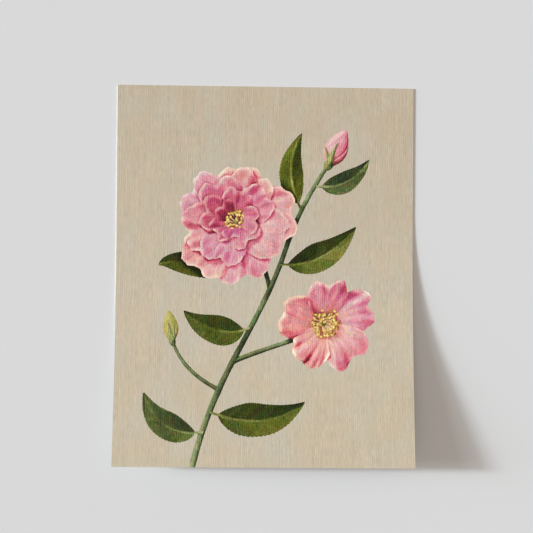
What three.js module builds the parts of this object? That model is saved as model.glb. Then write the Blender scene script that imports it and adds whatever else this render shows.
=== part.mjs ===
// Unframed art print: one sheet of heavy rag paper, 11 by 14 inches, lying on its back.
// Millimetres, +Z up out of the printed face, +Y towards the picture's top, +X to its right.
// The origin is on the table, under the middle of the sheet's outline.
//
// The print has long stood leaning on a wall, and the paper has kept that shape. Its upper half is
// dead flat. Below a shallow bend its straight lower end stands off the table. The bend runs askew,
// so the lower right corner is the highest.
import * as THREE from "three";

const SHEET_WIDTH = 279.4; // 11 in
const SHEET_LENGTH = 355.6; // 14 in
const PAPER_THICKNESS = 0.5; // 310 g/m2 cotton rag

const FLAT_BELOW_MIDDLE = 12; // how far the flat part reaches past the sheet's middle, half way across
const BEND_LENGTH = 40; // paper that is in the bend
const BEND_ANGLE = THREE.MathUtils.degToRad(6); // slope of the straight end below it
const BEND_SKEW = THREE.MathUtils.degToRad(9); // turn of the bend's lines from the sheet's width
const BEND_FACETS = 12; // flat strips that the bend is made of

const HALF_WIDTH = SHEET_WIDTH / 2;
const HALF_LENGTH = SHEET_LENGTH / 2;
const BEND_RADIUS = BEND_LENGTH / BEND_ANGLE;

// The way the paper bends up, in the plane of the flat sheet, and where on the middle line it starts.
const bendWay = new THREE.Vector2(Math.sin(BEND_SKEW), -Math.cos(BEND_SKEW));
const bendStart = new THREE.Vector2(0, -FLAT_BELOW_MIDDLE);

// A strip of paper across the bend: an arc of a circle, then a straight tangent to it. The sheet
// doesn't stretch, so the strip is drawn in by what it loses in reach.
function bentStrip(pastLine) {
  const paper = Math.max(0, pastLine);
  const slope = Math.min(paper, BEND_LENGTH) / BEND_RADIUS;
  const straight = Math.max(0, paper - BEND_LENGTH);
  const reach = BEND_RADIUS * Math.sin(slope) + straight * Math.cos(slope);
  return {
    slope,
    height: BEND_RADIUS * (1 - Math.cos(slope)) + straight * Math.sin(slope),
    drawnIn: paper - reach,
  };
}

// The point of the sheet at (across, along) on the flat paper, moved out of its mid-plane by offset.
function onSheet(across, along, offset) {
  const flat = new THREE.Vector2(across, along);
  const { slope, height, drawnIn } = bentStrip(flat.clone().sub(bendStart).dot(bendWay));
  const moved = flat.addScaledVector(bendWay, -drawnIn - offset * Math.sin(slope));
  return [moved.x, moved.y, PAPER_THICKNESS / 2 + height + offset * Math.cos(slope)];
}

// The lines from side to side that the sheet's flat strips meet at, from the top edge down to the
// bottom edge. Each is given by how far along the flat paper its left and its right end lie.
function stripLines() {
  const skewRise = HALF_WIDTH * Math.tan(BEND_SKEW);
  const bendLines = Array.from({ length: BEND_FACETS + 1 }, (_, i) => {
    const past = (BEND_LENGTH * i) / BEND_FACETS / Math.cos(BEND_SKEW);
    return [bendStart.y - past - skewRise, bendStart.y - past + skewRise];
  });
  return [[HALF_LENGTH, HALF_LENGTH], ...bendLines, [-HALF_LENGTH, -HALF_LENGTH]];
}

function sheetGeometry() {
  const lines = stripLines();
  const lastLine = lines.length - 1;

  // The printed face's points, then the back's: the left and the right end of each line in turn.
  const positions = [PAPER_THICKNESS / 2, -PAPER_THICKNESS / 2].flatMap((offset) =>
    lines.flatMap(([left, right]) => [
      ...onSheet(-HALF_WIDTH, left, offset),
      ...onSheet(HALF_WIDTH, right, offset),
    ]),
  );
  const [LEFT, RIGHT] = [0, 1];
  const front = (line, side) => 2 * line + side;
  const back = (line, side) => 2 * lines.length + front(line, side);

  const triangles = [];
  const quad = (a, b, c, d) => triangles.push(a, b, c, a, c, d);
  for (let n = 0; n < lastLine; n++) {
    quad(front(n, LEFT), front(n + 1, LEFT), front(n + 1, RIGHT), front(n, RIGHT));
    quad(back(n, LEFT), back(n, RIGHT), back(n + 1, RIGHT), back(n + 1, LEFT));
    quad(front(n, LEFT), back(n, LEFT), back(n + 1, LEFT), front(n + 1, LEFT));
    quad(front(n + 1, RIGHT), back(n + 1, RIGHT), back(n, RIGHT), front(n, RIGHT));
  }
  quad(front(0, RIGHT), back(0, RIGHT), back(0, LEFT), front(0, LEFT));
  quad(front(lastLine, LEFT), back(lastLine, LEFT), back(lastLine, RIGHT), front(lastLine, RIGHT));

  const geometry = new THREE.BufferGeometry();
  geometry.setAttribute("position", new THREE.Float32BufferAttribute(positions, 3));
  geometry.setIndex(triangles);
  geometry.computeVertexNormals();
  return geometry;
}

const printedPaper = new THREE.MeshStandardMaterial({ color: 0xc8bba5, roughness: 0.85, metalness: 0 });

const sheet = new THREE.Mesh(sheetGeometry(), printedPaper);
sheet.name = "print_sheet";

// Stands the group's origin under the middle of the outline, which the bend draws in at the lower end.
const box = new THREE.Box3().setFromObject(sheet);
sheet.position.set(-(box.min.x + box.max.x) / 2, -(box.min.y + box.max.y) / 2, -box.min.z);

const artPrint = new THREE.Group();
artPrint.name = "unframed_art_print";
artPrint.add(sheet);

export default artPrint;
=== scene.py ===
import bpy
import numpy as np
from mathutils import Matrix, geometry


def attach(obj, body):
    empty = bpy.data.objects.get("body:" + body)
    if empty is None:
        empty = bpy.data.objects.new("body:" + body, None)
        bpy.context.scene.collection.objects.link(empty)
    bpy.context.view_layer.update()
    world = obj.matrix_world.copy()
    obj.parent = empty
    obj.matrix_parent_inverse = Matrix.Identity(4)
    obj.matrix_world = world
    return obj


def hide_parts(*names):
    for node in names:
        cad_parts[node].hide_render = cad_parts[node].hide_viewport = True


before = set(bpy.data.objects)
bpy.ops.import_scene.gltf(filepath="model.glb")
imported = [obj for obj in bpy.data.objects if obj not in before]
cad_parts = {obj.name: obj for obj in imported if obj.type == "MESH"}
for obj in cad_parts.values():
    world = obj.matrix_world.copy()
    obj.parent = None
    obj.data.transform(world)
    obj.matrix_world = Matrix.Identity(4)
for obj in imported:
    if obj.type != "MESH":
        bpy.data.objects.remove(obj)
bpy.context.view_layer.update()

# == The picture's plate ==
# The print reproduces an oil painting, so its picture is worked out first, as a painter would see
# the motif: each stem, leaf and petal is a surface in the round, and the plate keeps the nearest.
# The picture's places are millimetres from its middle.

POINTS_PER_INCH = 80
PLATE_PITCH = 25.4 / POINTS_PER_INCH
PLATE_ROWS = 14 * POINTS_PER_INCH
PLATE_COLUMNS = 11 * POINTS_PER_INCH
BEHIND_ALL = -1e3  # the relief of a point that nothing has been laid on
STUDIO_WINDOW = np.array([-0.50, 0.55, 0.67])  # the way to the light that the motif was painted by

plate = {
    name: np.zeros((PLATE_ROWS, PLATE_COLUMNS))
    for name in ("tone", "pigment", "undertone", "share", "tint", "way", "piece")
}
plate["relief"] = np.full((PLATE_ROWS, PLATE_COLUMNS), BEHIND_ALL)
pigments = []


def srgb(red, green, blue):
    """A colour's screen values from 0 to 255, as parts of one."""
    return np.array([red, green, blue]) / 255


def pigment(*stops):
    """Adds a ramp of mixed paint, from the deepest tone (0) to the lightest (1); gives its number."""
    pigments.append(stops)
    return len(pigments)


def unit(vectors):
    """Each vector divided by its own length."""
    return vectors / np.maximum(np.linalg.norm(vectors, axis=-1, keepdims=True), 1e-9)


def ripple(x, seed, octaves=4):
    """Uneven waves: sines of rising pitch and falling height, each with its own drawn phase."""
    rng = np.random.default_rng(seed)
    total = 0
    for octave in range(octaves):
        pitch = 2**octave * rng.uniform(1, 1.3)
        total = total + np.sin(x * pitch + rng.uniform(0, 2 * np.pi)) / 1.7**octave
    return total / 1.8


def outward(points):
    """The normals of a grid of points, turned to the eye."""
    normals = unit(np.cross(np.gradient(points, axis=0), np.gradient(points, axis=1)))
    return np.where(normals[..., 2:] > 0, normals, -normals)


def lit(points, dark, light, power=1.4):
    """A tone from dark to light, by how far each point's normal turns to the studio window."""
    facing = 0.5 + 0.5 * outward(points) @ unit(STUDIO_WINDOW)
    return dark + (light - dark) * facing**power


def lay(points, tone, paint, undertone=None, share=0.0, tint=0.0, way=None):
    """Puts a grid of points on the plate wherever it is nearer to the eye than what is there.

    The undertone takes its share of the paint, and tint is how much warmer the mixture is. way is the
    angle that the brush follows; it runs along the grid's first direction otherwise.
    """
    if way is None:
        along = np.gradient(points, axis=0)
        way = np.arctan2(along[..., 1], along[..., 0])
    values = {
        "tone": tone,
        "pigment": paint,
        "undertone": undertone or paint,
        "share": share,
        "tint": tint,
        "way": way,
        "piece": plate["piece"].max() + 1,
    }
    column = np.floor(points[..., 0] / PLATE_PITCH + PLATE_COLUMNS / 2).astype(int).ravel()
    row = np.floor(PLATE_ROWS / 2 - points[..., 1] / PLATE_PITCH).astype(int).ravel()
    relief = points[..., 2].ravel()
    order = np.flatnonzero((column >= 0) & (column < PLATE_COLUMNS) & (row >= 0) & (row < PLATE_ROWS))
    order = order[np.argsort(relief[order], kind="stable")]
    nearest = np.full(PLATE_ROWS * PLATE_COLUMNS, -1)
    nearest[row[order] * PLATE_COLUMNS + column[order]] = order
    spot = np.flatnonzero(nearest >= 0)
    spot = spot[relief[nearest[spot]] > plate["relief"].flat[spot]]
    plate["relief"].flat[spot] = relief[nearest[spot]]
    for name, value in values.items():
        plate[name].flat[spot] = np.broadcast_to(value, points.shape[:2]).flat[nearest[spot]]


# == Stems ==
# A green cane enters at the lower left, leans across the sheet and ends in a bud. Thinner stalks
# leave it for the open flowers and the small bud. Each was drawn with one loaded brush.

STEM_GREEN = pigment(
    (0.0, srgb(34, 38, 26)),
    (0.3, srgb(66, 76, 44)),
    (0.55, srgb(104, 116, 72)),
    (0.8, srgb(150, 160, 112)),
    (1.0, srgb(190, 192, 150)),
)


def bezier(path, t):
    """The cubic curve through the first and last of four points, drawn towards the other two."""
    a, b, c, d = np.array(path, float)
    t = np.asarray(t)[..., None]
    return (1 - t) ** 3 * a + 3 * (1 - t) ** 2 * t * b + 3 * (1 - t) * t**2 * c + t**3 * d


def beside(curve):
    """The unit vectors to the left of a plane curve's points."""
    along = unit(np.gradient(curve, axis=0))
    return np.stack([-along[:, 1], along[:, 0]], -1)


def stem(path, radii, depths, shades, seed):
    """A round stem: half circles stood across a curve, with its radius, its depth in the picture and
    its shade changing evenly from end to end."""
    t = np.linspace(0, 1, 1500)[:, None]
    v = np.linspace(-1, 1, 60)[None, :]
    middle = bezier(path, t[:, 0])
    radius = (radii[0] + (radii[1] - radii[0]) * t) * (1 + 0.06 * ripple(t * 9, seed, 3))
    flat = middle[:, None] + beside(middle)[:, None] * (radius * v)[..., None]
    depth = depths[0] + (depths[1] - depths[0]) * t + radius * np.sqrt(np.clip(1 - v**2, 0, 1))
    points = np.dstack([flat, depth])
    tone = lit(points, 0.08, 0.86) - shades[0] - (shades[1] - shades[0]) * t
    lay(points, tone + 0.07 * ripple(t * 25, seed + 1, 3), STEM_GREEN)


stem([(-66, -179), (-60, -152), (-50, -122), (-32, -86)], (2.7, 2.5), (0, 0), (-0.04, 0.3), 1)
stem([(-32, -86), (-10, -44), (8, -12), (20, 26)], (2.5, 2.1), (0, 0), (0.3, -0.02), 2)
stem([(20, 26), (32, 62), (46, 84), (60, 106)], (2.1, 1.7), (0, 2), (-0.02, 0.1), 3)
stem([(5, -16), (2, 6), (-8, 24), (-22, 42)], (2.0, 1.9), (-1, 8), (0.2, 0.1), 4)
stem([(-30, -82), (-4, -70), (22, -64), (50, -52)], (2.1, 1.8), (-1, 8), (0.3, -0.04), 5)
stem([(-43, -107), (-60, -98), (-78, -86), (-86, -62)], (1.8, 1.3), (-1, 3), (0.25, -0.02), 6)

# == Leaves ==
# Rose leaves with toothed edges, folded up or down along a paler rib that side veins leave.
# They were laid in dark to light, with the brush drawn from the rib towards the edge.

LEAF_GREEN = pigment(
    (0.0, srgb(26, 32, 14)),
    (0.25, srgb(46, 55, 19)),
    (0.45, srgb(70, 79, 26)),
    (0.6, srgb(95, 102, 38)),
    (0.78, srgb(132, 136, 72)),
    (1.0, srgb(180, 178, 122)),
)
LEAF_STALK = 0.09  # of the leaf's whole length
LEAF_TEETH = 24  # on each side
LEAF_VEINS = 8  # on each side


def leaf(path, width, fold, depth, seed, shade=0.0):
    """A leaf along a curve, on a short stalk: its half-width rises and falls as a power of a sine, and
    two sines make its teeth. The blade lifts by fold times the distance from its rib, and waves."""
    t = np.linspace(0, 1, 700)[:, None]
    v = np.linspace(-1, 1, 300)[None, :]
    middle = bezier(path, t[:, 0])
    left = beside(middle)
    blade = np.clip((t - LEAF_STALK) / (1 - LEAF_STALK), 0, 1)
    half = width * np.sin(np.pi * blade**0.82) ** 0.85 * (1 - 0.25 * blade)
    phase = 2 * np.pi * LEAF_TEETH * blade
    tooth = (np.sin(phase) + 0.45 * np.sin(2 * phase)) * np.clip(3 * np.sin(np.pi * blade), 0, 1)
    half = half * (1 + 0.028 * tooth * v**6)
    half = half * (1 + 0.05 * ripple(blade * 6 + np.sign(v), seed, 2))
    half = np.maximum(half, 0.9 - 0.9 * blade)
    pace = blade * LEAF_VEINS + 0.25 * ripple(blade * 9, seed + 1, 2) + 0.18 * np.sign(v)
    vein = 2 * np.abs((pace - 0.75 * np.abs(v)) % 1 - 0.5)
    height = fold * np.abs(half * v) + 0.14 * np.cos(np.pi * vein) * np.abs(v) ** 0.5
    height = depth + height + 2.2 * ripple(t * 4 + 0.8 * v, seed + 3, 2)
    points = np.dstack([middle[:, None] + left[:, None] * (half * v)[..., None], height])
    rib = np.exp(-((half * v / (1.2 - 0.7 * t)) ** 2)) * (1 - 0.5 * t)
    side_veins = np.exp(-(((1 - vein) / 0.08) ** 2)) * np.clip(3 * np.abs(v), 0, 1) * (1 - np.abs(v)) ** 0.5
    rim = np.exp(-(((1 - np.abs(v)) * half / 0.6) ** 2))
    tone = lit(points, -0.08, 0.76, 2.2) + 0.4 * rib + 0.08 * side_veins + 0.1 * rim - shade
    tone = tone + 0.05 * ripple(t * 13 + v * 3, seed + 5, 3)
    ahead = np.stack([left[:, 1], -left[:, 0]], -1)
    stroke = 0.75 * ahead[:, None] + 0.6 * left[:, None] * np.sign(v)[..., None]
    tint = np.random.default_rng(seed).normal() + 0 * tone
    lay(points, tone, LEAF_GREEN, tint=tint, way=np.arctan2(stroke[..., 1], stroke[..., 0]))


leaf([(-50, -128), (-22, -138), (12, -140), (38, -118)], 17, 0.35, 4, 21, shade=0.05)
leaf([(-56, -146), (-84, -150), (-104, -136), (-112, -110)], 14, 0.4, 4, 22)
leaf([(14, 10), (44, 8), (66, 22), (86, 46)], 15, 0.35, 5, 23)
leaf([(34, 62), (22, 84), (20, 108), (34, 134)], 12.5, -0.35, 5, 24)
leaf([(-14, -50), (-34, -58), (-58, -52), (-76, -34)], 15, 0.3, 6, 25, shade=0.08)
leaf([(48, 84), (68, 82), (86, 90), (98, 110)], 11, 0.3, 5, 26)
leaf([(-6, 10), (-52, 0), (-88, 20), (-100, 8)], 13, 0.3, 1, 27, shade=0.12)

# == Open flowers ==
# A double rose that faces the eye and a single one turned to the lower right. Notched, waved petals
# overlap round golden stamens; each was blended wet, from a cream base to a pale, rolled rim.

PETAL_PINK = pigment(
    (0.0, srgb(92, 26, 38)),
    (0.16, srgb(146, 40, 66)),
    (0.3, srgb(188, 68, 98)),
    (0.45, srgb(208, 107, 130)),
    (0.58, srgb(216, 140, 152)),
    (0.72, srgb(223, 172, 172)),
    (0.86, srgb(231, 197, 189)),
    (1.0, srgb(248, 233, 227)),
)
PETAL_CREAM = pigment(
    (0.0, srgb(120, 74, 52)),
    (0.3, srgb(186, 136, 96)),
    (0.55, srgb(222, 190, 138)),
    (0.75, srgb(236, 214, 172)),
    (1.0, srgb(246, 236, 212)),
)
STAMEN_GOLD = pigment(
    (0.0, srgb(110, 66, 32)),
    (0.3, srgb(160, 112, 56)),
    (0.55, srgb(206, 164, 84)),
    (0.8, srgb(228, 200, 118)),
    (1.0, srgb(244, 228, 170)),
)
HEART_GREEN = pigment(
    (0.0, srgb(84, 74, 34)),
    (0.4, srgb(140, 132, 62)),
    (0.7, srgb(182, 172, 92)),
    (1.0, srgb(214, 206, 132)),
)
GOLDEN_ANGLE = np.pi * (3 - 5**0.5)  # the step round a shoot from one petal or stamen to the next
OUTER_PETALS = 5  # of a flower, each as long and as open as the others
PETAL_STEP = 0.4  # how much nearer to the eye each petal's base is than the last one's


def turned(right, up):
    """A flower's own right, up and axis, for an axis that leans from the eye by these angles."""
    axis = unit(np.array([np.sin(right), np.sin(up), np.cos(right) * np.cos(up)]))
    upward = unit(np.array([0, 1, 0]) - axis[1] * axis)
    return np.array([np.cross(upward, axis), upward, axis])


def petal(middle, axes, azimuth, length, leans, cup, wave, lift, notch, shade, tint, seed):
    """A petal: rays fan out from its base, as long as a rounded, notched outline is there. The fan
    bends outwards evenly from the first lean to the second, cups across and waves at its rim, and a
    narrow lip of the rim rolls back."""
    u = np.linspace(0, 1, 380)[:, None]
    v = np.linspace(-1, 1, 420)[None, :]
    rim = np.cos(v * np.pi / 2) ** 0.4 * (1 - notch * np.exp(-((v / 0.2) ** 2)))
    rim = rim * (1 + 0.035 * ripple(v * 4, seed) + 0.014 * ripple(v * 17, seed + 3))
    ray = u * rim * length
    side = ray * np.sin(0.82 * v)
    out = ray * np.cos(0.82 * v)
    bend = leans[1] - leans[0]
    lean = leans[0] + bend * out / length
    radial = length * (np.cos(leans[0]) - np.cos(lean)) / bend
    height = length * (np.sin(lean) - np.sin(leans[0])) / bend
    height = height + cup * side**2 / length + wave * u**3 * ripple(v * 5 + u * 1.2, seed + 1, 3) + lift
    to_rim = (1 - u) * rim * length
    lip = np.exp(-((to_rim / 2.4) ** 2)) * (0.6 + 0.4 * ripple(v * 7, seed + 4, 3))
    height = height - 1.5 * lip
    around = np.array([np.cos(azimuth), np.sin(azimuth), 0]) @ axes
    across = np.array([-np.sin(azimuth), np.cos(azimuth), 0]) @ axes
    points = middle + radial[..., None] * around + side[..., None] * across + height[..., None] * axes[2]
    tone = lit(points, 0.1, 0.9, 1.5) - shade + 0.2 * lip
    tone = tone - 0.12 * np.exp(-(((to_rim - 7) / 4.5) ** 2))
    tone = tone + 0.045 * ripple(v * 26 + 0.4 * u, seed + 2, 3) * u**0.5 * (1 - 0.4 * u)
    share = np.exp(-((ray / (0.3 * length)) ** 2)) + 0.35 * np.clip(lip, 0, 1)
    lay(points, tone, PETAL_PINK, PETAL_CREAM, np.clip(share, 0, 1), tint)


def heart(middle, axes, radius, dome):
    """The flower's centre: a low dome, a paraboloid of revolution."""
    u = np.linspace(0, 1, 120)[:, None, None]
    q = np.linspace(0, 2 * np.pi, 360)[None, :, None]
    points = middle + radius * u * (np.cos(q) * axes[0] + np.sin(q) * axes[1]) + dome * (1 - u**2) * axes[2]
    lay(points, 0.75 * lit(points, 0.3, 1.2, 1), HEART_GREEN)


def stamens(middle, axes, inner, outer, rise, count, seed):
    """Curved threads at the golden angle round the centre, each with a bean-shaped anther."""
    rng = np.random.default_rng(seed)
    t = np.linspace(0, 1, 70)[:, None]
    w = np.linspace(0, 1, 16)[:, None]
    q = np.linspace(0, 2 * np.pi, 40)[None, :]
    for i in range(count):
        azimuth = GOLDEN_ANGLE * i + rng.normal(0, 0.12)
        reach = (inner + (outer - inner) * np.sqrt((i + 0.5) / count)) * rng.normal(1, 0.12)
        height = rise * (1 - 0.45 * (reach / outer) ** 2) + rng.normal(0, 0.7)
        around = np.array([np.cos(azimuth), np.sin(azimuth), 0]) @ axes
        tip = middle + reach * around + height * axes[2]
        bow = middle + 0.6 * reach * around + 0.25 * height * axes[2]
        thread = (1 - t) ** 2 * (middle + 1.5 * around) + 2 * (1 - t) * t * bow + t**2 * tip
        edge = np.pad(beside(thread[:, :2]), [(0, 0), (0, 1)])
        points = thread[:, None] + edge[:, None] * np.linspace(-0.32, 0.32, 7)[None, :, None]
        lay(points, 0.62 + 0.25 * t, PETAL_CREAM)
        turn = azimuth + rng.normal(1.2, 0.5)
        size = rng.uniform(1.15, 1.4)
        long, wide = 1.25 * size * w * np.cos(q), 0.8 * size * w * np.sin(q)
        x = tip[0] + long * np.cos(turn) - wide * np.sin(turn)
        y = tip[1] + long * np.sin(turn) + wide * np.cos(turn)
        points = np.dstack([x, y, tip[2] + 1.2 * np.sqrt(1 - w**2) + 0 * q])
        tone = 0.62 + 0.25 * w * (np.sin(q) - np.cos(q)) + rng.normal(0, 0.07)
        lay(points, tone, STAMEN_GOLD)


def flower(middle, lean, size, petals, step, spin, tuft, shade, seed):
    """Petals laid one after another, a step round from the last, about the heart and its stamens.
    Past the outer ones, each is shorter, more upright and more shaded than the one before."""
    rng = np.random.default_rng(seed)
    middle = np.array(middle, float)
    axes = turned(*lean)
    for rank in range(petals):
        inward = max(0, rank + 1 - OUTER_PETALS) / max(1, petals - OUTER_PETALS)
        petal(
            middle,
            axes,
            azimuth=spin + step * rank + rng.normal(0, 0.06),
            length=size * (1 - 0.56 * inward) * rng.normal(1, 0.05),
            leans=(0.95 - 0.55 * inward + rng.normal(0, 0.05), 1.7 - 0.5 * inward + rng.normal(0, 0.1)),
            cup=rng.uniform(0.12, 0.17),
            wave=size * (1 - 0.5 * inward) * rng.uniform(0.05, 0.085),
            lift=rank * PETAL_STEP,
            notch=rng.uniform(0.1, 0.17),
            shade=shade + 0.26 * inward,
            tint=rng.normal(0.6 - inward, 0.6),
            seed=37 * seed + rank,
        )
    centre = middle + (1 + petals * PETAL_STEP) * axes[2]
    heart(centre, axes, radius=0.085 * size, dome=2.5)
    stamens(
        centre,
        axes,
        inner=0.05 * size,
        outer=tuft * size,
        rise=0.2 * size,
        count=round(215 * tuft),
        seed=seed + 5,
    )


flower(
    middle=(-26, 48, 22),
    lean=(-0.16, 0.2),
    size=64,
    petals=18,
    step=GOLDEN_ANGLE,
    spin=1.62,
    tuft=0.17,
    shade=0.03,
    seed=8,
)
flower(
    middle=(54, -44, 20),
    lean=(0.36, -0.2),
    size=52,
    petals=OUTER_PETALS,
    step=0.8 * np.pi,
    spin=0.4,
    tuft=0.28,
    shade=-0.1,
    seed=12,
)

# == Buds ==
# One bud about to open at the top of the cane and a tight one on the left that is still green. Their
# petals are wrapped in slanting laps, and long sepals hold them above a swollen green foot.

SEPAL_GREEN = pigment(
    (0.0, srgb(40, 46, 26)),
    (0.3, srgb(76, 86, 44)),
    (0.55, srgb(116, 124, 66)),
    (0.8, srgb(160, 162, 100)),
    (1.0, srgb(198, 194, 142)),
)


def sepal(base, heading, bend, length, width, depth):
    """A narrow blade that tapers to a point. Its middle is the sum of small steps along a heading
    that turns evenly, by the bend in all."""
    t = np.linspace(0, 1, 260)[:, None]
    v = np.linspace(-1, 1, 70)[None, :]
    angle = heading + bend * t
    steps = np.hstack([np.cos(angle), np.sin(angle)]) * length / (len(t) - 1)
    middle = np.array(base) + np.cumsum(steps, 0)
    half = width * (1 - t) ** 0.8 * np.clip(8 * t, 0.45, 1)
    flat = middle[:, None] + beside(middle)[:, None] * (half * v)[..., None]
    points = np.dstack([flat, depth + 1.2 * (1 - v**2) + 0 * t])
    lay(points, lit(points, 0.1, 0.9) + 0.15 * np.exp(-((v / 0.2) ** 2)), SEPAL_GREEN)


def bud(base, top, radius, depth, paint):
    """An egg-shaped bud: a body of revolution whose radius steps at each slanting lap of petal."""
    base = np.array(base, float)
    t = np.linspace(0, 1, 420)[:, None]
    q = np.linspace(-np.pi / 2, np.pi / 2, 260)[None, :]
    length = np.linalg.norm(top - base)
    ahead = (top - base) / length
    left = np.array([-ahead[1], ahead[0]])
    lap = (2.2 * q / np.pi + 1.3 * t) % 1
    girth = radius * np.sin(np.pi * t**0.8) ** 0.75 * (1 - 0.12 * t) * (1 + 0.09 * lap)
    flat = base + length * t[..., None] * ahead + (girth * np.sin(q))[..., None] * left
    points = np.dstack([flat, depth + girth * np.cos(q)])
    tone = lit(points, 0.1, 0.85) + 0.12 * np.exp(-(((1 - lap) / 0.06) ** 2))
    tone = tone - 0.22 * np.exp(-((lap / 0.1) ** 2))
    lay(points, tone, paint, PETAL_CREAM, 0.6 * np.exp(-((t / 0.3) ** 2)))


def foot(base, heading, radius, depth):
    """The swollen foot under a bud: an ellipsoid, longer along its heading."""
    u = np.linspace(0, np.pi / 2, 90)[:, None]
    q = np.linspace(0, 2 * np.pi, 240)[None, :]
    long, wide = 1.35 * radius * np.sin(u) * np.cos(q), radius * np.sin(u) * np.sin(q)
    x = base[0] + long * np.cos(heading) - wide * np.sin(heading)
    y = base[1] + long * np.sin(heading) + wide * np.cos(heading)
    points = np.dstack([x, y, depth + radius * np.cos(u) + 0 * q])
    lay(points, lit(points, 0.08, 0.85), SEPAL_GREEN)


sepal((60, 105), 2.2, -0.9, 16, 2.3, 8)
sepal((61, 105), 0.45, 1.1, 15, 2.3, 8)
bud((59, 104), (76, 138), 11, 6, PETAL_PINK)
foot((59.5, 104.5), 1.05, 4.2, 10)
sepal((60, 106), 1.25, -0.15, 21, 3.0, 18)
sepal((60, 105), 1.65, 0.35, 17, 2.4, 17)
bud((-86, -62), (-90, -34), 7, 6, HEART_GREEN)
foot((-86, -63), 1.7, 2.9, 7)
sepal((-86, -62), 1.9, -0.2, 17, 2.4, 13)
sepal((-86, -62), 1.3, 0.5, 15, 2.0, 12)
sepal((-86, -62), 2.7, -0.9, 11, 1.7, 6)

# == Light and shade in the picture ==
# The painter's tones: petals and leaves throw soft shadows on what lies behind them, and folds
# close to one another go deeper. The tones then become paint by each surface's own ramp.


def blurred(field, radius):
    """The plate's field, blurred by a bell curve of that radius in millimetres."""
    sigma = radius / PLATE_PITCH
    margin = int(3 * sigma) + 1
    padding = [(margin, margin), (margin, margin)] + [(0, 0)] * (field.ndim - 2)
    wide = np.pad(field, padding, mode="edge")
    down = np.fft.fftfreq(wide.shape[0])[:, None]
    right = np.fft.rfftfreq(wide.shape[1])[None, :]
    bell = np.exp(-2 * (np.pi * sigma) ** 2 * (down**2 + right**2))
    bell = bell.reshape(bell.shape + (1,) * (field.ndim - 2))
    wide = np.fft.irfft2(np.fft.rfft2(wide, axes=(0, 1)) * bell, s=wide.shape[:2], axes=(0, 1))
    return wide[margin:-margin, margin:-margin]


SHADOW_REACH = 30  # the furthest that a shadow falls in the picture
SHADOW_STEP = 0.5


def cast_shadow(relief):
    """How far each point is shaded: the most that the relief towards the window stands above the
    ray from the point, counted less the further off it is."""
    level = np.hypot(*STUDIO_WINDOW[:2])
    shade = np.zeros(relief.shape)
    for distance in np.arange(SHADOW_STEP, SHADOW_REACH, SHADOW_STEP):
        rows = round(STUDIO_WINDOW[1] / level * distance / PLATE_PITCH)
        columns = round(-STUDIO_WINDOW[0] / level * distance / PLATE_PITCH)
        above = np.roll(relief, (rows, columns), (0, 1)) - relief
        ray = 0.75 * distance * STUDIO_WINDOW[2] / level
        part = np.clip((above - ray - 0.8) / 2.2, 0, 1) * (1 - 0.5 * distance / SHADOW_REACH)
        shade = np.maximum(shade, part)
    return blurred(shade, 0.5)


def mixed(tone, ramp):
    """The colour of a tone on a ramp, each channel straight between its stops."""
    tones, colours = zip(*ramp)
    return np.stack([np.interp(tone, tones, channel) for channel in zip(*colours)], -1)


WARMTH = srgb(3, 1, -6)  # how a surface of warmer paint differs from its neighbours
GROUND_RELIEF = -4  # how deep the painted ground seems to lie

motif = plate["piece"] > 0
relief = np.where(motif, plate["relief"], GROUND_RELIEF)
fold = np.clip((blurred(relief, 4) - relief) / 9, 0, 1)  # broad hollows
crease = np.clip((blurred(relief, 1.2) - relief) / 3, 0, 1)  # narrow ones
tone = plate["tone"] - 0.3 * cast_shadow(relief) - 0.22 * fold - 0.2 * crease
motif_colour = np.zeros((PLATE_ROWS, PLATE_COLUMNS, 3))
for number, ramp in enumerate(pigments, 1):
    for layer, weight in (("pigment", 1 - plate["share"]), ("undertone", plate["share"])):
        spots = plate[layer] == number
        motif_colour[spots] += weight[spots][:, None] * mixed(tone[spots], ramp)
motif_colour += plate["tint"][..., None] * WARMTH

# == Brushwork ==
# Thousands of strokes, broad ones first and fine ones where the broad ones missed, follow each
# form. A stroke keeps within its own petal or leaf, and its hairs leave streaks.


def spread(colour, radius):
    """The motif's colour blurred within the motif, and carried on past its edge."""
    weight = np.maximum(blurred(motif.astype(float), radius), 0.02)[..., None]
    return blurred(colour * motif[..., None], radius) / weight


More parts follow.
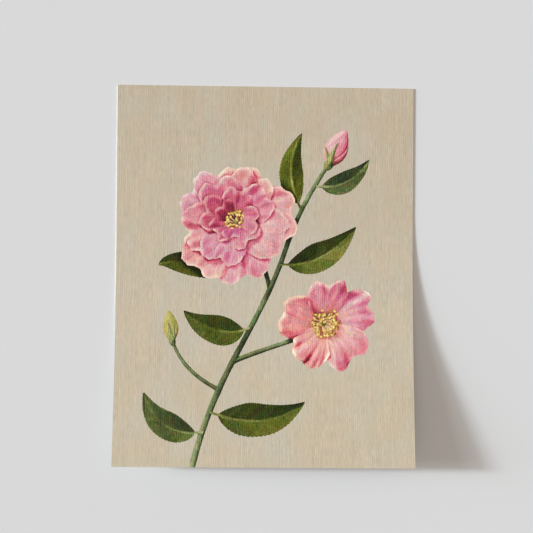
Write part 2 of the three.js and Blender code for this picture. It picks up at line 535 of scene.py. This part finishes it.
def brush(painted, length, width, spacing, missed, jitter, rng):
    """Adds a layer of strokes where the painted colour is wrong by more than missed. Each is a bent
    band, an arc by its middle's way and how that turns, with a soft edge, tapered ends and hairs
    across it. It takes the motif's colour at its middle, changed at random by the jitter."""
    target = spread(motif_colour, width / 4)
    step = spacing / PLATE_PITCH
    row, column = np.mgrid[0:PLATE_ROWS:step, 0:PLATE_COLUMNS:step]
    row = np.clip(row + rng.uniform(-0.5, 0.5, row.shape) * step, 0, PLATE_ROWS - 1).astype(int)
    column = np.clip(column + rng.uniform(-0.5, 0.5, column.shape) * step, 0, PLATE_COLUMNS - 1).astype(int)
    error = np.abs(spread(painted - motif_colour, 0.45)).sum(-1)
    wanted = brushed[row, column] & (error[row, column] >= missed)
    row, column = row[wanted], column[wanted]
    half_length = length / 2 / PLATE_PITCH
    half_width = width / 2 / PLATE_PITCH
    for i in rng.permutation(len(row)):
        y, x = row[i], column[i]
        angle = way[y, x] + rng.normal(0, 0.07)
        right, down = np.cos(angle), -np.sin(angle)
        ahead = 0.6 * half_length * np.array([down, right])
        ends = np.array([[y, x] + ahead, [y, x] - ahead]).astype(int)
        ends = tuple(np.clip(ends, 0, [PLATE_ROWS - 1, PLATE_COLUMNS - 1]).T)
        bend = 0.0
        if np.all(plate["piece"][ends] == plate["piece"][y, x]):
            bend = ((way[ends] @ [1, -1] + np.pi / 2) % np.pi - np.pi / 2) / (1.2 * half_length)
        reach = int(half_length) + 2
        rows = slice(max(y - reach, 0), y + reach + 1)
        columns = slice(max(x - reach, 0), x + reach + 1)
        dy = np.arange(rows.start, min(rows.stop, PLATE_ROWS))[:, None] - y
        dx = np.arange(columns.start, min(columns.stop, PLATE_COLUMNS))[None, :] - x
        along = dx * right + dy * down
        across = dy * right - dx * down + 0.5 * bend * along**2
        half = half_width * rng.uniform(0.7, 1.25)
        end = half_length * rng.uniform(0.7, 1)
        load = np.clip((half - np.abs(across)) / 1.1, 0, 1) * np.clip(3 - 3 * (along / end) ** 2, 0, 1)
        hair = hairs[((across / half * 1.3 + 2) * 40 + rng.integers(1500)).astype(int) % len(hairs)]
        load = load * (0.45 + 0.55 * hair) * (1 - 0.35 * np.clip(along / end, 0, 1))
        load = 0.9 * load * (plate["piece"][rows, columns] == plate["piece"][y, x])
        colour = target[y, x] * rng.normal(1, jitter) + rng.normal(0, jitter / 2, 3)
        painted[rows, columns] += load[..., None] * (colour - painted[rows, columns])


HAIRS = 512
POINTS_PER_HAIR = 4
CRISPNESS = 0.7  # how far the colours are moved from their neighbours' mean

draw = np.random.default_rng(5)
hair_places = np.arange(0, HAIRS, 1 / POINTS_PER_HAIR)
hairs = np.interp(hair_places, np.arange(HAIRS + 1), draw.random(HAIRS + 1))

# The brush's way, as complex numbers of twice its angle, so that opposite ways are the same and can
# be averaged. At an edge between colours, the way along that edge outweighs the surface's own.
slope_down, slope_right = np.gradient(blurred(motif_colour.sum(-1), 0.5))
along_edges = -1200 * (slope_right - 1j * slope_down) ** 2
doubled = np.exp(2j * plate["way"]) + motif * along_edges
way = np.angle(blurred(motif * doubled.real, 0.9) + 1j * blurred(motif * doubled.imag, 0.9)) / 2
brushed = motif & (plate["pigment"] != STAMEN_GOLD)
painted = spread(motif_colour, 2.5)
for length, width, spacing, missed, jitter in (
    (14, 4.2, 2.2, 0, 0.05),
    (9, 2.4, 1.5, 0.1, 0.045),
    (6.5, 1.3, 0.9, 0.13, 0.03),
    (4, 0.8, 0.6, 0.17, 0.02),
):
    brush(painted, length, width, spacing, missed, jitter, draw)
painted[motif & ~brushed] = motif_colour[motif & ~brushed]
painted += CRISPNESS * (painted - spread(painted, 0.8))
painted[~motif] = spread(painted, 0.5)[~motif]

# == The sheet ==
# One sheet of heavy cotton rag paper, 11 by 14 inches and half a millimetre thick, cut clean. It
# has kept the shape that it took standing: flat above, then a long, shallow bend and a straight
# end. The bend runs askew, so the lower right corner is the highest.

SHEET_WIDTH = 0.2794
SHEET_LENGTH = 0.3556
PAPER_THICKNESS = 0.0005
BEND_START = np.array([0, 0.040])  # on the flat sheet, from its middle
BEND_LENGTH = 0.150  # paper that is in the bend
BEND_ANGLE = np.radians(6)  # slope of the straight end below it
BEND_SKEW = np.radians(9)  # turn of the bend's lines from the sheet's width
BEND_WAY = np.array([np.sin(BEND_SKEW), -np.cos(BEND_SKEW)])
BEND_RADIUS = BEND_LENGTH / BEND_ANGLE
CREASE_ANGLE = np.radians(40)  # past which an edge is shown sharp
COARSEST_CELL = 16
TOLERANCES = {16: 0.04, 8: 0.04, 4: 0.04, 2: 0.08}  # how far colours may stray in a cell of that width
WHOLE_SHEET = 0  # the triangulation fills the outline of its points
SAME_POINT = 1e-6  # how close two of its points may lie
MOTIF_EDGE = 0.45  # how far the motif's edge is softened, in the picture's millimetres
MOTIF_HALO = 14  # how far its nearness reaches, in the same


def bent(flat, offset):
    """The place in the round of points of the flat sheet, offset out of its mid-plane. A strip across
    the bend follows an arc of a circle and then its straight tangent, drawn in by the lost reach."""
    paper = np.clip((flat - BEND_START) @ BEND_WAY, 0, None)
    slope = np.minimum(paper, BEND_LENGTH) / BEND_RADIUS
    straight = np.clip(paper - BEND_LENGTH, 0, None)
    reach = BEND_RADIUS * np.sin(slope) + straight * np.cos(slope)
    height = BEND_RADIUS * (1 - np.cos(slope)) + straight * np.sin(slope)
    moved = flat + (reach - paper - offset * np.sin(slope))[:, None] * BEND_WAY
    return np.column_stack([moved, PAPER_THICKNESS / 2 + height + offset * np.cos(slope)])


def picture_nodes(fields):
    """The plate's corners that the printed face needs: cells are halved, from the coarsest down,
    where a field strays from the straight blend of the cell's corners by more than its tolerance."""
    kept = np.zeros((PLATE_ROWS + 1, PLATE_COLUMNS + 1), bool)
    kept[::COARSEST_CELL, ::COARSEST_CELL] = True
    for cell, tolerance in TOLERANCES.items():
        rows = cell * np.arange(PLATE_ROWS // cell)
        columns = cell * np.arange(PLATE_COLUMNS // cell)

        def within(steps):
            """The fields in every cell, so many steps down and to the right of its corner."""
            down = (rows[:, None] + steps)[:, :, None, None]
            return fields[down, (columns[:, None] + steps)[None, None]]

        steps = np.arange(cell + 1)
        weight = np.stack([1 - steps / cell, steps / cell], -1)
        corners = within(np.array([0, cell]))
        blend = np.einsum("ia,racbk,jb->ricjk", weight, corners, weight)
        row, column = np.nonzero(np.abs(within(steps) - blend).max(axis=(1, 3, 4)) > tolerance)
        for down in range(3):
            for right in range(3):
                kept[(2 * row + down) * cell // 2, (2 * column + right) * cell // 2] = True
    return kept


def at_corners(field):
    """The plate's field at the corners between its points: the mean of the four points round each."""
    wide = np.pad(field, [(1, 1), (1, 1)] + [(0, 0)] * (field.ndim - 2), mode="edge")
    return (wide[1:, 1:] + wide[:-1, 1:] + wide[1:, :-1] + wide[:-1, :-1]) / 4


def triangulated(kept):
    """Triangles between the kept corners, and the corners' rows and columns, both as arrays."""
    spots = np.argwhere(kept)
    flat, _, faces, *_ = geometry.delaunay_2d_cdt(spots.tolist(), [], [], WHOLE_SHEET, SAME_POINT)
    return np.array(flat).round().astype(int), np.array(faces)


cover = at_corners(blurred(motif.astype(float), MOTIF_EDGE))
near = at_corners(blurred(motif.astype(float), MOTIF_HALO))
paint = at_corners(painted)
grip = cover * np.clip(9 - 11 * paint.mean(-1), 1, 7)  # the canvas shows more through dark paint

# What the printed face's mesh has to follow: the motif's colours, and half as closely its edge.
fields = np.dstack([paint * (cover[..., None] > 0.02), 0.5 * cover])
face_nodes = picture_nodes(fields)
back_nodes = np.zeros_like(face_nodes)
back_nodes[::COARSEST_CELL, ::COARSEST_CELL] = True
back_nodes[[0, -1]] = face_nodes[[0, -1]]
back_nodes[:, [0, -1]] = face_nodes[:, [0, -1]]


def flat_place(spots):
    """The place on the flat sheet, in metres from its middle, of a corner of the plate."""
    return (spots[:, ::-1] / [PLATE_COLUMNS, PLATE_ROWS] - 0.5) * [SHEET_WIDTH, -SHEET_LENGTH]


def rim_order(spots):
    """The numbers of the spots on the sheet's outline, in order round it from its top left corner:
    down the left side, then along the bottom, up the right side and back along the top."""
    row, column = spots.T
    side = 1e4  # a step from side to side, greater than any row or column
    lap = np.select(
        [column == 0, row == PLATE_ROWS, column == PLATE_COLUMNS, row == 0],
        [row, side + column, 3 * side - row, 4 * side - column],
        np.nan,
    )
    on_rim = np.flatnonzero(~np.isnan(lap))
    return on_rim[np.argsort(lap[on_rim])]


front, front_faces = triangulated(face_nodes)
back, back_faces = triangulated(back_nodes)
front_rim = rim_order(front)
back_rim = rim_order(back) + len(front)
cut_edge = np.stack([np.roll(front_rim, -1), front_rim, back_rim, np.roll(back_rim, -1)], -1)
spots = np.vstack([front, back])
flat = flat_place(spots)
places = np.vstack(
    [bent(flat[: len(front)], PAPER_THICKNESS / 2), bent(flat[len(front) :], -PAPER_THICKNESS / 2)]
)
box_middle = (places.min(0) + places.max(0)) / 2
places[:, :2] -= box_middle[:2]


def upright(faces, sign):
    """The triangles, turned so that they wind anticlockwise seen from above (1) or below (-1)."""
    a, b, c = places[faces, :2].transpose(1, 0, 2)
    area = (b - a)[:, 0] * (c - a)[:, 1] - (b - a)[:, 1] * (c - a)[:, 0]
    return np.where((area * sign > 0)[:, None], faces, faces[:, ::-1])


front_faces = upright(front_faces, 1)
back_faces = upright(back_faces + len(front), -1)
sheet_mesh = bpy.data.meshes.new("art_print")
sheet_mesh.from_pydata(places, [], front_faces.tolist() + back_faces.tolist() + cut_edge.tolist())
bare = np.arange(len(sheet_mesh.polygons)) >= len(front_faces)
sheet_mesh.polygons.foreach_set("material_index", bare.astype(int))
smooth = np.arange(len(bare)) < len(front_faces) + len(back_faces)
sheet_mesh.polygons.foreach_set("use_smooth", smooth)
sheet_mesh.set_sharp_from_angle(angle=CREASE_ANGLE)


def store(name, kind, field, values):
    """Gives the mesh a named attribute with one value for each vertex."""
    carried = sheet_mesh.attributes.new(name, kind, "POINT")
    carried.data.foreach_set(field, np.ascontiguousarray(values, dtype=np.float32).ravel())


def to_linear(colour):
    """Linear light from the numbers of a painted colour, which follow the sRGB curve."""
    return np.where(colour < 0.04045, colour / 12.92, ((np.maximum(colour, 0) + 0.055) / 1.055) ** 2.4)


MAP_FACE = 0.9  # parts of the map's width: the printed face's, then the others' left and width
MAP_BACK = (0.91, 0.07)
MAP_EDGE = (0.985, 0.012)


def bake_places():
    """A map that gives the picture room: the printed face fills nine tenths of its width, a narrow
    copy of the sheet holds the bare back, and a thin strip the cut edges, unrolled upwards."""
    on_sheet = flat / [SHEET_WIDTH, SHEET_LENGTH] + 0.5
    printed = on_sheet[front_faces.ravel()] * [MAP_FACE, 1]
    bare_back = on_sheet[back_faces.ravel()] * [MAP_BACK[1], 1] + [MAP_BACK[0], 0]
    lap = np.arange(len(cut_edge))[:, None] + [1, 0, 0, 1]
    strip = MAP_EDGE[0] + MAP_EDGE[1] * np.broadcast_to([0, 0, 1, 1], lap.shape)
    unrolled = np.stack([strip, lap / len(cut_edge)], -1).reshape(-1, 2)
    return np.vstack([printed, bare_back, unrolled])


bake_map = sheet_mesh.uv_layers.new(name="OFBake")
bake_map.uv.foreach_set("vector", bake_places().astype(np.float32).ravel())
row, column = spots.T
store("paint", "FLOAT_COLOR", "color", np.column_stack([to_linear(paint[row, column]), np.ones(len(row))]))
store("cover", "FLOAT", "value", cover[row, column])
store("near", "FLOAT", "value", near[row, column])
store("grip", "FLOAT", "value", grip[row, column])
store("flat", "FLOAT_VECTOR", "vector", np.column_stack([1000 * flat, np.zeros(len(row))]))
art_print = bpy.data.objects.new("art_print", sheet_mesh)
bpy.context.scene.collection.objects.link(art_print)
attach(art_print, "root")
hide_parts("print_sheet")

# == Ink and paper ==
# Matte pigment inks, edge to edge, show the painting: its petals and leaves over a warm ground,
# whose brushed streaks and ribbed linen were photographed with it. The back and edges are bare.


class Wire:
    """A node's output. Arithmetic with numbers and other wires adds Math nodes."""

    def __init__(self, socket):
        self.socket = socket

    @classmethod
    def node(cls, tree, kind, settings=None, sockets=None, output=0):
        """Adds a node of a kind: its settings are set first, then its sockets' values or links."""
        node = tree.nodes.new(kind)
        for name, value in (settings or {}).items():
            setattr(node, name, value)
        for name, value in (sockets or {}).items():
            if isinstance(value, cls):
                tree.links.new(value.socket, node.inputs[name])
            else:
                node.inputs[name].default_value = value
        return cls(node.outputs[output])

    def maths(self, operation, *terms):
        """The result of a Math node on these terms."""
        tree = self.socket.id_data
        return Wire.node(tree, "ShaderNodeMath", {"operation": operation}, dict(enumerate(terms)))

    def __add__(self, other):
        return self.maths("ADD", self, other)

    def __sub__(self, other):
        return self.maths("SUBTRACT", self, other)

    def __mul__(self, other):
        return self.maths("MULTIPLY", self, other)

    def __rsub__(self, other):
        return self.maths("SUBTRACT", other, self)

    __radd__ = __add__
    __rmul__ = __mul__

    def sine(self):
        """The sine of the wire's value, which is in radians."""
        return self.maths("SINE", self)

    def held(self, low=0.0, high=1.0):
        """The wire's value, kept between two numbers."""
        return Wire.node(self.socket.id_data, "ShaderNodeClamp", None, {0: self, 1: low, 2: high})


def finish(name, principled):
    """An empty material with one Principled shader; gives the material, its tree and that node."""
    material = bpy.data.materials.new(name)
    material.use_nodes = True
    shader = material.node_tree.nodes["Principled BSDF"]
    for socket, value in principled.items():
        shader.inputs[socket].default_value = value
    return material, material.node_tree, shader


def attribute(tree, name, output):
    """What the mesh carries under a name, read at each point."""
    return Wire.node(tree, "ShaderNodeAttribute", {"attribute_name": name}, output=output)


def noise(tree, place, size, stretch, detail, seed):
    """Clouds of a size in the place's own units, drawn out by stretch, from about -1 to 1."""
    scaled = Wire.node(
        tree,
        "ShaderNodeVectorMath",
        {"operation": "MULTIPLY"},
        {0: place, 1: [1 / (size * s) for s in stretch]},
    )
    cloud = Wire.node(
        tree,
        "ShaderNodeTexNoise",
        {"noise_dimensions": "4D"},
        {"Vector": scaled, "W": seed, "Scale": 1.0, "Detail": detail, "Roughness": 0.55},
    )
    return (cloud - 0.5) * 2.6


def blend(tree, factor, a, b, kind="MIX"):
    """Two colours mixed, or b laid over a by another blend type, by the factor."""
    sockets = {0: factor, 6: a, 7: b}
    return Wire.node(tree, "ShaderNodeMix", {"data_type": "RGBA", "blend_type": kind}, sockets, 2)


def paint_of(red, green, blue):
    """A colour for a shader: linear light and a full alpha, from screen values."""
    return (*to_linear(srgb(red, green, blue)), 1)


def embossed(tree, shader, height, strength, distance):
    """Gives a shader the relief of a height field, in metres for a height of one."""
    sockets = {"Strength": strength, "Distance": distance, "Height": height}
    bump = Wire.node(tree, "ShaderNodeBump", None, sockets)
    tree.links.new(bump.socket, shader.inputs["Normal"])


RIB_PITCH = 1.9  # of the linen, in millimetres

printed_face, tree, shader = finish("printed_face", {"Roughness": 0.9, "Specular IOR Level": 0.12})
place = attribute(tree, "flat", "Vector")  # in millimetres
across, up = (
    Wire.node(tree, "ShaderNodeSeparateXYZ", None, {0: place}, output) for output in (0, 1)
)
brushed_streaks = noise(tree, place, 3.2, (1, 12, 1), 1, 1.0)
broad_patches = noise(tree, place, 26, (1, 1.6, 1), 3, 2.0)
slubs = noise(tree, place, 0.95, (1, 8, 1), 1, 3.0)
long_threads = noise(tree, place, 0.95, (1, 50, 1), 1, 12.0)
weft = noise(tree, place, 0.9, (12, 1, 1), 1, 4.0)
worn = (0.55 + 0.6 * noise(tree, place, 15, (1, 2, 1), 2, 9.0)).held()
ribs = (across * (2 * np.pi / RIB_PITCH) + 2.2 * noise(tree, place, 14, (1, 4, 1), 1, 5.0)).sine()
grain = noise(tree, place, 0.9, (1, 1.6, 1), 1, 10.0)

# The ground is darker and browner towards the top, greener near the motif, streaked and mottled.
upper = (up * (1 / 150) + across * (1 / 600) + 0.35 * broad_patches).held()
# Painted shade: the ground is darkened below the bend, where the low lamp lights the raised end more.
painted_shade_below_bend = (up * (-1 / 90) - 0.3).held()
greener = 0.25 + 1.3 * noise(tree, place, 34, (1, 1.3, 1), 2, 6.0) + 1.2 * attribute(tree, "near", "Fac")
mottled = noise(tree, place, 10, (1, 1.5, 1), 2, 11.0)
ground = blend(tree, upper, paint_of(199, 185, 162), paint_of(192, 176, 152))
for amount, colour in (
    (painted_shade_below_bend, paint_of(195, 180, 155)),
    (0.75 * greener.held(), paint_of(192, 185, 168)),
    ((0.6 * brushed_streaks).held(), paint_of(206, 190, 163)),
    ((-0.6 * brushed_streaks).held(), paint_of(190, 181, 162)),
    ((0.7 * mottled).held(), paint_of(205, 184, 165)),
    ((-0.7 * mottled).held(), paint_of(193, 188, 162)),
):
    ground = blend(tree, amount, ground, colour)

# The motif lies on it with a ragged edge, and the canvas shows through both.
rag = noise(tree, place, 1.5, (1, 1, 1), 2, 7.0)
edge = ((attribute(tree, "cover", "Fac") - 0.5 + 0.14 * rag) * 6 + 0.5).held()
picture = blend(tree, edge, ground, attribute(tree, "paint", "Color"))
weave = worn * (0.28 * slubs + 0.2 * long_threads + 0.06 * ribs) + 0.03 * weft + 0.06 * grain
specks = attribute(tree, "grip", "Fac") * (0.08 * slubs + 0.16 * grain + 0.02 * ribs)
cloth = (1 + weave + specks + 0.015 * brushed_streaks).held(0.3, 2)
picture = blend(tree, 1.0, picture, cloth, "MULTIPLY")
tree.links.new(picture.socket, shader.inputs["Base Color"])
tooth = noise(tree, place, 0.55, (1, 1, 1), 3, 8.0)
tree.links.new((0.88 + 0.04 * tooth).socket, shader.inputs["Roughness"])
embossed(tree, shader, tooth, 0.25, 0.00002)
sheet_mesh.materials.append(printed_face)

bare_paper, tree, shader = finish("bare_cotton_paper", {"Roughness": 0.9, "Specular IOR Level": 0.3})
place = attribute(tree, "flat", "Vector")
pulp = noise(tree, place, 1.1, (1, 1.4, 1), 4, 1.0)
cloudy = noise(tree, place, 18, (1, 1, 1), 3, 2.0)
shade = (0.5 + 0.25 * pulp + 0.3 * cloudy).held()
paper = blend(tree, shade, paint_of(236, 232, 222), paint_of(244, 241, 233))
tree.links.new(paper.socket, shader.inputs["Base Color"])
embossed(tree, shader, pulp, 0.4, 0.00004)
sheet_mesh.materials.append(bare_paper)

# == Floor ==
# A plain pale table top that the print lies on. It's not part of the print.

FLOOR_HALF = 40.0
FLOOR_GAP = 0.0001  # left under the sheet, so that the two surfaces don't coincide

floor_mesh = bpy.data.meshes.new("floor")
corners = [
    (x * FLOOR_HALF, y * FLOOR_HALF, -FLOOR_GAP) for x, y in ((-1, -1), (1, -1), (1, 1), (-1, 1))
]
floor_mesh.from_pydata(corners, [], [(0, 1, 2, 3)])
floor = bpy.data.objects.new("floor", floor_mesh)
bpy.context.scene.collection.objects.link(floor)
table_top, tree, shader = finish("pale_table", {"Roughness": 1.0, "Specular IOR Level": 0.0})
shader.inputs["Base Color"].default_value = paint_of(217, 217, 217)
floor_mesh.materials.append(table_top)

# == Light ==
# A soft studio lamp, low and far to the left, with a still softer one just below it, and an even
# warm-white room. Together they light a level surface just enough that a colour shows as it is.

LAMP_TURN = np.radians(5.5)  # from the picture's left towards its top
LAMP_SHARE = srgb(126, 140, 153)  # of the light on a level surface; the room gives the rest
ROOM_SHARE = 1 - LAMP_SHARE
LAMPS = ((0.55, 12.4, 4.5), (0.45, 11.4, 19))  # part of that share, height and breadth, in degrees

for part, height, breadth in LAMPS:
    lamp = bpy.data.objects.new("lamp", bpy.data.lights.new("lamp", "SUN"))
    lamp.data.angle = np.radians(breadth)
    lamp.data.energy = part * np.pi * LAMP_SHARE.max() / np.sin(np.radians(height))
    lamp.data.color = LAMP_SHARE / LAMP_SHARE.max()
    lamp.rotation_euler = (0, np.pi / 2 - np.radians(height), np.pi - LAMP_TURN)
    bpy.context.scene.collection.objects.link(lamp)
world = bpy.data.worlds.new("room")
world.use_nodes = True
world.node_tree.nodes["Background"].inputs["Color"].default_value = (*ROOM_SHARE, 1)
bpy.context.scene.world = world
bpy.context.scene.view_settings.view_transform = "Standard"

# == Camera ==
# It looks almost straight down on the print from a little over 60 cm, the picture's top upwards.

camera = bpy.data.objects.new("camera", bpy.data.cameras.new("camera"))
camera.data.lens = 44
camera.location = (-0.0115, 0.0037, 0.6147)
camera.rotation_euler = np.radians((0.36, -1.22, 0.45))
bpy.context.scene.collection.objects.link(camera)
bpy.context.scene.camera = camera
